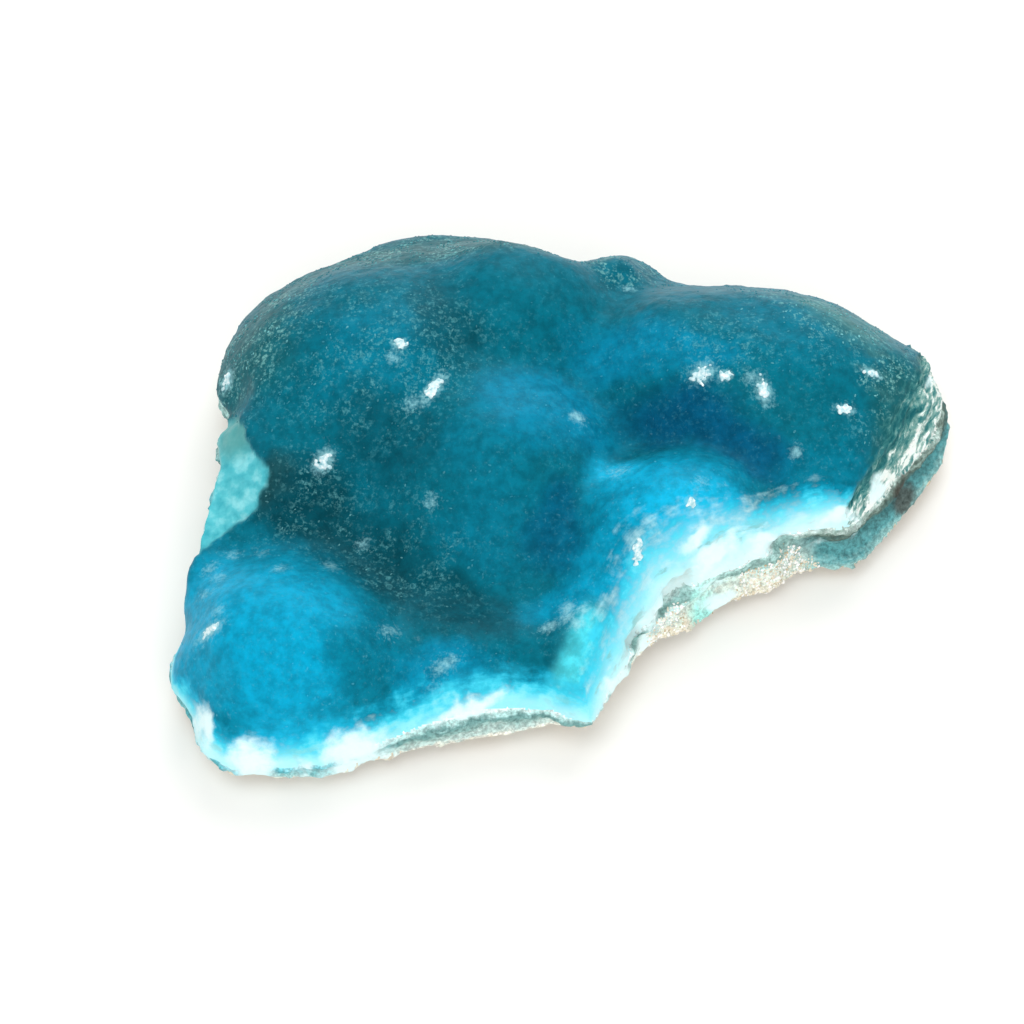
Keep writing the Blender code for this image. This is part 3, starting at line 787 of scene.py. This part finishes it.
def frost_and_glint_colour(tree, place, colour):
    """The frosted look of the druse: soft dots, broken rings and flecks, which are painted glints of its
    tiny crystal tips over its own paler frost, stronger where it grows well. The real frost is too fine to
    show here, so it is drawn coarser."""
    frost = reading(tree, "frost")
    clumps = fade(tree, noise(tree, place, 2.2, detail=2.0).outputs["Fac"], 0.35, 0.6)
    strength = maths(tree, "MULTIPLY", maths(tree, "MULTIPLY_ADD", frost, 0.78, 0.14), clumps)
    # The dots, rings and flecks below are painted glints, laid in the paler colour of the frost
    strayed = wander(tree, place, 0.5, 0.35)
    cells = add(tree, "ShaderNodeTexVoronoi", {"Vector": strayed, "Scale": 1 / 0.75, "Randomness": 1.0})
    away = cells.outputs["Distance"]
    ring = fade(tree, maths(tree, "ABSOLUTE", maths(tree, "SUBTRACT", away, 0.26)), 0.0, 0.16, 0.85, 0.0)
    dot = fade(tree, away, 0.0, 0.34, 0.65, 0.0)
    fine = noise(tree, place, 0.32, detail=2.0, roughness=0.7).outputs["Fac"]
    marks = maths(tree, "MULTIPLY", maths(tree, "MAXIMUM", ring, dot), fade(tree, fine, 0.36, 0.6))
    marks = maths(tree, "MULTIPLY", marks, fade(tree, cells.outputs["Color"], 0.25, 0.7))
    flecks = fade(tree, fine, 0.48, 0.74, 0.0, 0.85)
    marks = maths(tree, "MULTIPLY", maths(tree, "MAXIMUM", marks, flecks), strength)
    paler = blend(tree, frost, "#4fb0bd", "#84c4bf")
    colour = blend(tree, marks, colour, paler)
    fuzzy = fade(tree, maths(tree, "ADD", reading(tree, "spots"), fine), 0.6, 1.5, 0.0, 0.75)
    return blend(tree, fuzzy, colour, "#a6e2ea")


def bite_colour(tree, place, colour):
    """Paler crust in the bite out of the left side, with a greener, frosted top end."""
    streaks = noise(tree, place, 1.1, detail=5.0).outputs["Fac"]
    pale = colour_steps(tree, streaks, (0.3, "#3fabb9"), (0.5, "#5cc2cc"), (0.7, "#8fdce2"))
    pale = blend(tree, maths(tree, "MULTIPLY", cloud_share(tree, place, BITE_TOP), 0.75), pale, "#5b9a96")
    return blend(tree, reading(tree, "bite"), colour, pale)


def hollow_colour(tree, colour):
    """Greyer fibres in the hollows of the broken edge."""
    return blend(tree, maths(tree, "MULTIPLY", reading(tree, "hollow"), 0.65), colour, "#7da7a2")


def band_colour(tree, place, colour):
    """The pale band along the thin broken edge, where light comes through: cyan, with white mist over it
    in streaks that follow the edge."""
    run = along_edge(tree, 3.2, 0.8)
    streaks = noise(tree, run, 1.0, detail=5.0, roughness=0.6).outputs["Fac"]
    ragged = noise(tree, place, 1.4, detail=5.0, roughness=0.6).outputs["Fac"]
    both = maths(tree, "ADD", streaks, ragged)
    true_rim = reading(tree, "rim")
    rim = maths(tree, "SUBTRACT", maths(tree, "MULTIPLY_ADD", both, 1.3, true_rim), 1.3)
    steps = ((0.0, "#86e6f2"), (0.35, "#45d2ea"), (0.7, "#1cbce0"), (0.95, "#0aa9d0"))
    colour = blend(tree, fade(tree, rim, 0.2, 1.15, 1.0, 0.0), colour, colour_steps(tree, rim, *steps))
    mist = maths(tree, "MULTIPLY_ADD", both, 2.0, reading(tree, "white"))
    mist = maths(tree, "SUBTRACT", mist, maths(tree, "MULTIPLY", true_rim, 0.8))
    colour = blend(tree, fade(tree, mist, 2.0, 3.3, 0.0, 0.85), colour, "#cbf6fa")
    hollows = fade(tree, streaks, 0.36, 0.46, 0.9, 0.0)
    near_edge = fade(tree, true_rim, 0.25, 0.55, 1.0, 0.0)
    near_edge = maths(tree, "MULTIPLY", near_edge, reading(tree, "white"))
    colour = blend(tree, maths(tree, "MULTIPLY", hollows, near_edge), colour, "#86b9b6")
    colour = hollow_colour(tree, colour)
    crest = fade(tree, maths(tree, "MULTIPLY_ADD", ragged, 0.3, true_rim), 0.08, 0.42, 0.7, 0.0)
    return blend(tree, maths(tree, "MULTIPLY", crest, reading(tree, "white")), colour, "#f2ffff")


def snow_colour(tree, place, colour):
    """The snow-white patches along the edge, with misty bounds."""
    misty = noise(tree, place, 0.9, detail=4.0, roughness=0.6).outputs["Fac"]
    share = fade(tree, maths(tree, "ADD", reading(tree, "snow"), misty), 0.62, 1.5, 0.0, 0.95)
    return blend(tree, share, colour, "#e6feff")


def slope_colour(tree, place, colour):
    """The slope broken off the right end: dark green fibres with ragged grey and white ones in tufts,
    whiter towards its lower edge."""
    ragged = noise(tree, place, 1.2, detail=5.0).outputs["Fac"]
    slope = maths(tree, "MULTIPLY_ADD", ragged, 1.4, maths(tree, "SUBTRACT", reading(tree, "slope"), 0.7))
    inside = fade(tree, slope, 0.7, 1.3, 1.0, 0.0)
    fibres = turned_place(tree, wander(tree, place, 1.8, 1.2), (0, 0, 0), FIBRE_TURN, (1.9, 0.4, 0.9))
    strands = noise(tree, fibres, 1.0, detail=5.0, roughness=0.65).outputs["Fac"]
    tone = maths(tree, "ADD", strands, fade(tree, slope, -0.2, 1.1, 0.14, -0.14))
    tone = maths(tree, "MULTIPLY_ADD", ragged, 0.5, maths(tree, "SUBTRACT", tone, 0.25))
    steps = ((0.34, "#1a5a60"), (0.47, "#3d7d7d"), (0.57, "#7fa9a2"), (0.66, "#f0f8f2"))
    return blend(tree, inside, colour, colour_steps(tree, tone, *steps))


def wall_colour(tree, place):
    """The broken wall, layer by layer: a white line, fibrous grey-green, a dark weathered groove, and a
    teal or cream foot."""
    layer = reading(tree, "layer")
    ragged = noise(tree, place, 0.8, detail=5.0, roughness=0.7).outputs["Fac"]
    streaks = noise(tree, along_edge(tree, 2.4, 0.5), 1.0, detail=4.0).outputs["Fac"]
    both = maths(tree, "ADD", ragged, streaks)
    shifted = maths(tree, "SUBTRACT", maths(tree, "MULTIPLY_ADD", both, 0.45, layer), 0.45)
    colour = colour_steps(tree, shifted, *WALL_STEPS["front"])
    strayed = wander(tree, place, 2.5, 4.0)
    for name, (*stretch, soft) in WALL_STRETCHES.items():
        layers = colour_steps(tree, shifted, *WALL_STEPS[name])
        colour = blend(tree, cloud_share(tree, strayed, stretch, soft), colour, layers)
    pocket = cloud_share(tree, wander(tree, place, 0.8, 1.0), DARK_POCKET, (0.5, 1.1))
    colour = blend(tree, maths(tree, "MULTIPLY", pocket, 0.8), colour, "#4d443c")
    mint = cloud_share(tree, wander(tree, place, 0.9, 0.8), MINT_STAIN, (0.5, 1.0))
    colour = blend(tree, mint, colour, "#a9ece2")
    colour = hollow_colour(tree, colour)
    specks = noise(tree, place, 0.35, detail=4.0, roughness=0.7).outputs["Fac"]
    return brightness(tree, colour, fade(tree, specks, 0.32, 0.68, 0.62, 1.3))


def back_colour(tree, place):
    """Pale crumbly matrix, stained tan and mint."""
    stain = noise(tree, place, 3.5, detail=6.0).outputs["Fac"]
    steps = ((0.3, "#bda988"), (0.45, "#dccfb5"), (0.55, "#ebe7d8"), (0.7, "#bfe2d8"))
    colour = colour_steps(tree, stain, *steps)
    grains = noise(tree, place, 0.6, detail=4.0).outputs["Fac"]
    return brightness(tree, colour, fade(tree, grains, 0.35, 0.6, 0.78, 1.05))


def finish_surface(tree, surface, place, roughness, grain, depth):
    """What the crust, the wall and the back share: a roughness, and a fine grain of a size and depth."""
    surface.inputs["Roughness"].default_value = roughness
    surface.inputs["IOR"].default_value = REFRACTION
    surface.inputs["Specular IOR Level"].default_value = 0.1
    height = noise(tree, place, grain, detail=2.0).outputs["Fac"]
    bump = add(tree, "ShaderNodeBump", {"Height": height, "Strength": 0.4, "Distance": depth * MM})
    tree.links.new(bump.outputs[0], surface.inputs["Normal"])


def waxy_surface(surface):
    """What makes the crust look waxy: a little light goes in and comes out again greener."""
    surface.inputs["Subsurface Weight"].default_value = 0.25
    surface.inputs["Subsurface Radius"].default_value = (0.35, 0.9, 1.0)
    surface.inputs["Subsurface Scale"].default_value = 1.2 * MM
    surface.inputs["Specular Tint"].default_value = linear("#5cc0cc")


def crust_material():
    """Botryoidal hemimorphite, coloured blue by copper: a waxy, slightly see-through crust of fibres,
    grown outwards in domes. It has a soft shine, broken by its druse."""
    material, tree, surface, place = new_material("blue_hemimorphite")
    colour = frost_and_glint_colour(tree, place, crust_colour(tree, place))
    colour = bite_colour(tree, place, colour)
    tree.links.new(colour, surface.inputs["Base Color"])
    waxy_surface(surface)
    finish_surface(tree, surface, place, roughness=0.42, grain=0.3, depth=0.08)
    return material


def edge_material():
    """The same crust where it is thin or broken: light comes through it, and its fibres show white."""
    material, tree, surface, place = new_material("pale_hemimorphite")
    colour = frost_and_glint_colour(tree, place, crust_colour(tree, place))
    colour = band_colour(tree, place, colour)
    colour = slope_colour(tree, place, colour)
    colour = snow_colour(tree, place, colour)
    tree.links.new(colour, surface.inputs["Base Color"])
    waxy_surface(surface)
    finish_surface(tree, surface, place, roughness=0.42, grain=0.3, depth=0.08)
    return material


def wall_material():
    """The broken wall: the same mineral cut across its layers, duller than the crust and weathered."""
    material, tree, surface, place = new_material("broken_hemimorphite")
    colour = snow_colour(tree, place, wall_colour(tree, place))
    tree.links.new(colour, surface.inputs["Base Color"])
    finish_surface(tree, surface, place, roughness=0.75, grain=0.3, depth=0.1)
    return material


def back_material():
    """The matrix that the crust grew on: dry, rough and crumbly."""
    material, tree, surface, place = new_material("matrix_back")
    tree.links.new(back_colour(tree, place), surface.inputs["Base Color"])
    finish_surface(tree, surface, place, roughness=0.85, grain=0.35, depth=0.12)
    return material


def dress_stone(stone, readings):
    """Gives the crust, its pale edge, the wall and the back their own materials."""
    for material in (crust_material(), edge_material(), wall_material(), back_material()):
        stone.data.materials.append(material)
    crust, edge, wall, back = range(4)
    on_edge = readings["rim"] < PALE_REACH
    on_edge |= (readings["slope"] < FIBRE_REACH) | (readings["snow"] > 0)
    kinds = np.where(on_edge, edge, crust)
    kinds[readings["layer"] > WALL_START] = wall
    kinds[readings["back"] > BACK_START] = back
    first_corners = np.array([face.vertices[0] for face in stone.data.polygons])
    stone.data.polygons.foreach_set("material_index", kinds[first_corners])


def druse_material():
    """Druse: clear to milky blades of the same mineral, glassier than the crust, so that each glints."""
    material, tree, surface = new_material("hemimorphite_druse")[:3]
    # Whitening by the glint reading is a painted glint over the blades' own clear to milky colour
    whitened = fade(tree, reading(tree, "glint"), 0.1, 1.0, 0.08, 0.75)
    colour = blend(tree, whitened, reading(tree, "tint", "Color"), "#85d0d3")
    tree.links.new(colour, surface.inputs["Base Color"])
    surface.inputs["Roughness"].default_value = 0.25
    surface.inputs["IOR"].default_value = REFRACTION
    surface.inputs["Specular IOR Level"].default_value = 0.15
    surface.inputs["Specular Tint"].default_value = linear("#9fdde4")
    return material


def tuft_material():
    """White hemimorphite tufts: snow-white fibres in a tight bundle, soft at their edges."""
    material, tree, surface, place = new_material("white_hemimorphite")
    lumps = noise(tree, place, 0.3, detail=3.0).outputs["Fac"]
    colour = colour_steps(tree, lumps, (0.3, "#8ac4d0"), (0.5, "#c9e6ea"), (0.7, "#fbffff"))
    tree.links.new(colour, surface.inputs["Base Color"])
    surface.inputs["Roughness"].default_value = 0.6
    surface.inputs["Specular IOR Level"].default_value = 0.2
    return material


def crumb_material():
    """Weathered matrix: dry, sugary grains of white, cream and tan."""
    material, tree, surface, place = new_material("pale_matrix")
    steps = ((0.0, "#b8a27f"), (0.15, "#dfd3bb"), (0.5, "#efe9da"), (0.8, "#ffffff"))
    tree.links.new(colour_steps(tree, reading(tree, "shade"), *steps), surface.inputs["Base Color"])
    surface.inputs["Roughness"].default_value = 0.75
    grain = noise(tree, place, 0.15, detail=2.0).outputs["Fac"]
    bump = add(tree, "ShaderNodeBump", {"Height": grain, "Strength": 0.4, "Distance": 0.04 * MM})
    tree.links.new(bump.outputs[0], surface.inputs["Normal"])
    return material


# Studio


def lay_floor():
    bpy.ops.object.select_all(action="DESELECT")
    bpy.ops.mesh.primitive_plane_add(size=3.0)
    floor = bpy.context.object
    floor.name = "floor"
    material, tree, surface, place = new_material("pale_floor")
    tone = noise(tree, place, 60.0, detail=1.0).outputs["Fac"]
    colour = colour_steps(tree, tone, (0.3, "#f8f7f4"), (0.7, "#fbfaf7"))
    tree.links.new(colour, surface.inputs["Base Color"])
    surface.inputs["Roughness"].default_value = 0.9
    surface.inputs["Specular IOR Level"].default_value = 0.0
    floor.data.materials.append(material)


def add_light(name, place, size, power):
    """A square soft light at a place, turned to the stone. Its place and size are in metres."""
    light = bpy.data.lights.new(name, "AREA")
    light.size = size
    light.energy = power
    lamp = bpy.data.objects.new(name, light)
    lamp.location = place
    lamp.rotation_euler = (-Vector(place)).to_track_quat("-Z", "Y").to_euler()
    bpy.context.scene.collection.objects.link(lamp)


def light_studio():
    add_light("back_window", (0.10, 0.42, 0.36), size=0.40, power=1.5)
    add_light("overhead", (-0.10, -0.05, 0.55), size=0.35, power=0.8)
    add_light("front_fill", (0.08, -0.48, 0.26), size=0.50, power=1.25)
    world = bpy.data.worlds.new("studio")
    world.use_nodes = True
    world.node_tree.nodes["Background"].inputs["Color"].default_value = linear("#ffffff")
    world.node_tree.nodes["Background"].inputs["Strength"].default_value = 0.6
    bpy.context.scene.world = world
    bpy.context.scene.view_settings.view_transform = "Standard"


def set_camera():
    camera = bpy.data.objects.new("camera", bpy.data.cameras.new("camera"))
    angle = math.radians(CAMERA_HEIGHT_ANGLE)
    back = Vector((0, -math.cos(angle), math.sin(angle)))
    camera.location = (AIM + CAMERA_DISTANCE * back) * MM
    camera.rotation_euler = (math.radians(90) - angle, 0, 0)
    camera.data.lens = LENS
    camera.data.clip_start = 10 * MM
    bpy.context.scene.collection.objects.link(camera)
    bpy.context.scene.camera = camera


def finish_piece(piece):
    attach(piece, "root")


def main():
    set_camera()
    stone, readings = sculpt_stone()
    druse = grow_druse(stone, readings)
    tufts = grow_tufts(stone)
    crumbs = grow_crumbs(stone, readings)
    dress_stone(stone, readings)
    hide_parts("hemimorphite")
    druse.data.materials.append(druse_material())
    tufts.data.materials.append(tuft_material())
    crumbs.data.materials.append(crumb_material())
    for piece in (stone, druse, tufts, crumbs):
        finish_piece(piece)
        print(piece.name, sum(len(face.vertices) - 2 for face in piece.data.polygons), "triangles")
    lay_floor()
    light_studio()


main()
